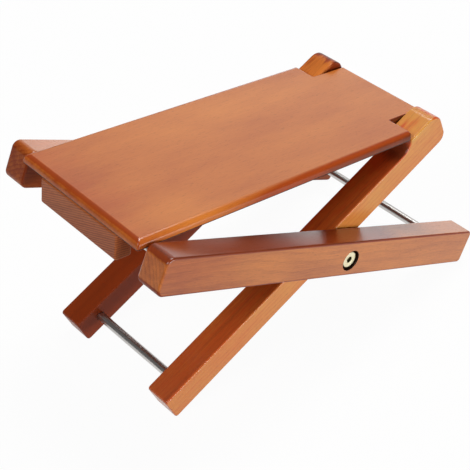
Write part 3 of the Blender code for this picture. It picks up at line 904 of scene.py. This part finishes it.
BOTH_INNER = dict(pith=(20, 55), sap_and_light=(15, 19), shade=(65, 95))
INNER_LOOKS = {
    "near": WoodLook(
        TAN,
        BROWN,
        figure=1.6,
        banded=1.6,
        # Darker tops: painted shade under the tread; darker ends partly more stain in the end grain
        soak_and_shade=(0.2, 0, 0.6),
        ripe=(10, 100, 0),
        matt=0.45,
        **BOTH_INNER,
    ),
    # Far inner leg: partly redder wood, partly painted shade of the far side in its darker deep colour, its stain
    # all over and its darker sides
    "far": WoodLook(
        FAR_TAN,
        FAR_BROWN,
        banded=0.7,
        stained=0.65,
        soak_and_shade=(0.2, 0.45, 0.6),
        coat=0.1,
        matt=0.6,
        **BOTH_INNER,
    ),
}
BOTH_OUTER = dict(pale=OUTER_AMBER, deep=OUTER_RED, pith=(-35, 60), bore=COUNTERBORE_R / MM)
OUTER_LOOKS = {
    "near": WoodLook(
        # Paler ends: painted light; darker top: partly stain, partly painted shade, giving way to the lit right
        # end
        soak_and_shade=(-0.35, 0, 1),
        soak_and_shade_fading=(2, -150, 170, 220),
        edge=0.6,
        ripe=(-190, -90, 0.3),
        matt=0.3,
        **BOTH_OUTER,
    ),
    "far": WoodLook(
        # Darker ends, sides and top: partly stain in the end grain, and painted shade of the far side
        soak_and_shade=(0.5, 0.5, 1),
        soak_and_shade_fading=(2, 100, 190, 240),
        matt=0.85,
        **BOTH_OUTER,
    ),
}
TREAD_LOOK = WoodLook(
    AMBER,
    RED,
    pith=(30, 70),
    figure=0.55,
    # Darker sides: painted shade on the edges and their rounding, fading where the left part is lit
    soak_and_shade=(0, 2, 0),
    soak_and_shade_fading=(1, 17, 50, 260),
    arris=0.9,
    hollow=-SHOULDER / MM,
    tint=0.8,
    ripe=(-285, -230, 0.3),
    matt=0.7,
)
RACK_LOOK = WoodLook(AMBER, RED, rough=0.5)
BAR_TURN = 20.6 * DEG  # of the bars' rings, about the grain's Y axis
BAR_PITH = 150  # mm from the pith up to the bars
SIDES = (("near", -1), ("far", 1))


def bar_look(u):
    """Thinly lacquered wood with narrow rings, for a bar at this place under the tread."""
    return WoodLook(
        DUSKY,
        DUN,
        pith=(u / MM, BAR_PITH),
        ring=1.7,
        rings=0.4,
        figure=1.4,
        # Paler ends: painted light
        soak_and_shade=(-0.4, 0, 0),
        rough=0.45,
        coat=0.15,
    )


def near_and_far():
    """The legs, racks and bolts of both sides."""
    bolt_brass = plating("bolt_brass", BOLT_FACE)
    for k, (tag, side) in enumerate(SIDES):
        inner_wood = wood("lacquered_inner_leg_" + tag, INNER_LOOKS[tag], 2 + k, PLACES["inner_frame"])
        inner_leg(tag, side, inner_wood)
        outer_wood = wood("lacquered_outer_leg_" + tag, OUTER_LOOKS[tag], 4 + k, PLACES["outer_frame"])
        outer_leg(tag, side, outer_wood)
        rack(tag, side, wood("bare_rack_" + tag, RACK_LOOK, 6 + k, PLACES["platform"]))
        bolt(tag, side, bolt_brass)


def tread_and_bars():
    platform = PLACES["platform"]
    tread(wood("lacquered_tread", TREAD_LOOK, 1, platform))
    crosswise = platform @ Matrix.Rotation(math.pi / 2, 4, "Z") @ Matrix.Rotation(BAR_TURN, 4, "Y")
    cleat_wood = wood("thin_lacquer_cleat", bar_look(BOARD_LEFT), 9, crosswise)
    crossbar("end_cleat", "stop_cleat", BOARD_LEFT + TRIM, BOARD_LEFT + CLEAT_W, CLEAT_H, cleat_wood)
    bar_wood = wood("thin_lacquer_bar", bar_look(0), 10, crosswise)
    crossbar("hinge_block", "hinge_bar", -BAR_W / 2, BAR_W / 2, BAR_H, bar_wood, [hinge_bore()])


def rods():
    rod_steel = steel("polished_rod", ROD_TONE, ROD_ROUGHNESS)
    rod("foot_bar_inner", "inner_foot_rod", "inner_frame", rod_steel)
    rod("hinge_bar_steel", "hinge_rod", "inner_frame", rod_steel)
    rod("foot_bar_outer", "outer_foot_rod", "outer_frame", rod_steel)
    rod("catch_bar", "catch_rod", "outer_frame", rod_steel)


def kept_solids():
    """Finishes for the solids that stay as they are."""
    finishes = {
        "screw": steel("screw_zinc", SCREW_TONE, SCREW_ROUGHNESS),
        "sleeve": plating("pale_brass"),
        "washer": nylon("washer_nylon"),
    }
    for node, obj in frame["nodes"].items():
        for word, material in finishes.items():
            if word in node:
                obj.data.materials.clear()
                obj.data.materials.append(material)


LAMP_DISTANCE = 2.0
LAMPS_AIM = Vector((0, 0, 0.08))
FLOOR_HALF = 3.0
WHITE = colour(1, 1, 1)
FLOOR_SEEN = colour(0.95, 0.95, 0.95)
FLOOR_BOUNCE = colour(0.4, 0.4, 0.4)
FLOOR_ROUGHNESS = 0.9
WHITE_SEEN = 0.96  # how much of the floor and the walls shines white in the picture
FLOOR_MIRRORED = 0.9  # and in what mirrors them
WALLS_MIRRORED = 0.08
WALLS_GLOW = 0.02


def lamp(name, bearing, height, size, power):
    """A soft box that faces the object. Both angles are in degrees, the bearing clockwise from the back."""
    light = bpy.data.lights.new(name, "AREA")
    light.shape = "RECTANGLE"
    light.size, light.size_y = size
    light.energy = power
    obj = bpy.data.objects.new(name, light)
    bpy.context.scene.collection.objects.link(obj)
    level = math.cos(height * DEG)
    right = math.sin(bearing * DEG) * level
    back = math.cos(bearing * DEG) * level
    towards = Vector((right, back, math.sin(height * DEG)))
    obj.location = LAMPS_AIM + towards * LAMP_DISTANCE
    obj.rotation_euler = (-towards).to_track_quat("-Z", "Y").to_euler()


def white_floor():
    """A floor that the camera sees as white paper, and that throws less light back."""
    bm = bmesh.new()
    bmesh.ops.create_grid(bm, x_segments=1, y_segments=1, size=FLOOR_HALF)
    mesh = bpy.data.meshes.new("floor")
    bm.to_mesh(mesh)
    bm.free()
    floor = bpy.data.objects.new("floor", mesh)
    bpy.context.scene.collection.objects.link(floor)
    material, tree, surface = finish_of("white_floor")
    surface["Base Color"].default_value = FLOOR_BOUNCE
    surface["Roughness"].default_value = FLOOR_ROUGHNESS
    surface["Specular IOR Level"].default_value = 0
    dim = Value(tree, tree.nodes["Principled BSDF"].outputs[0])
    pale = tree.node("ShaderNodeBsdfDiffuse", {"Color": FLOOR_SEEN})
    white = tree.node("ShaderNodeEmission", {"Color": WHITE, "Strength": 1.0})
    seen = tree.seen_by("Camera")
    mirrored = tree.mirrored()
    lit = tree.node("ShaderNodeMixShader", {0: seen.math("MAXIMUM", mirrored), 1: dim, 2: pale})
    shining = seen * WHITE_SEEN + mirrored * FLOOR_MIRRORED
    shown = tree.node("ShaderNodeMixShader", {0: shining, 1: lit, 2: white})
    tree.feed(tree.nodes["Material Output"].inputs["Surface"], shown)
    mesh.materials.append(material)


def white_walls():
    world = bpy.data.worlds.new("studio")
    bpy.context.scene.world = world
    tree = Tree(world)
    back = tree.nodes["Background"].inputs
    back["Color"].default_value = WHITE
    glow = tree.seen_by("Camera") * WHITE_SEEN + tree.mirrored() * WALLS_MIRRORED + WALLS_GLOW
    tree.feed(back["Strength"], glow)


def studio():
    white_floor()
    white_walls()
    lamp("overhead", bearing=60, height=67, size=(0.9, 0.9), power=23.5)
    lamp("front_low", bearing=172, height=0.5, size=(1.6, 0.17), power=23)
    lamp("back_right_low", bearing=60, height=6, size=(1.6, 0.7), power=3.8)
    lamp("back_right", bearing=52, height=29, size=(1.6, 0.8), power=2.2)
    lamp("left", bearing=262, height=42, size=(0.8, 0.8), power=14)


CAMERA_AT = Vector((-0.50576, -0.55055, 0.67220))
CAMERA_YAW = 41.40 * DEG  # clockwise from +Y
CAMERA_PITCH = 39.33 * DEG  # downwards
CAMERA_ROLL = -0.20 * DEG
CAMERA_LENS = 93.25  # in mm, as the film is
CAMERA_FILM = 36
CAMERA_SHIFT = (-0.0034, -0.0036)


def camera():
    data = bpy.data.cameras.new("camera")
    data.sensor_width = CAMERA_FILM
    data.lens = CAMERA_LENS
    data.shift_x, data.shift_y = CAMERA_SHIFT
    obj = bpy.data.objects.new("camera", data)
    bpy.context.scene.collection.objects.link(obj)
    level = math.cos(CAMERA_PITCH)
    forward = Vector((math.sin(CAMERA_YAW) * level, math.cos(CAMERA_YAW) * level, -math.sin(CAMERA_PITCH)))
    facing = forward.to_track_quat("-Z", "Y").to_matrix().to_4x4()
    obj.matrix_world = Matrix.Translation(CAMERA_AT) @ facing @ Matrix.Rotation(CAMERA_ROLL, 4, "Z")
    bpy.context.scene.camera = obj


near_and_far()
tread_and_bars()
rods()
kept_solids()
studio()
camera()
bpy.context.scene.view_settings.view_transform = "Standard"
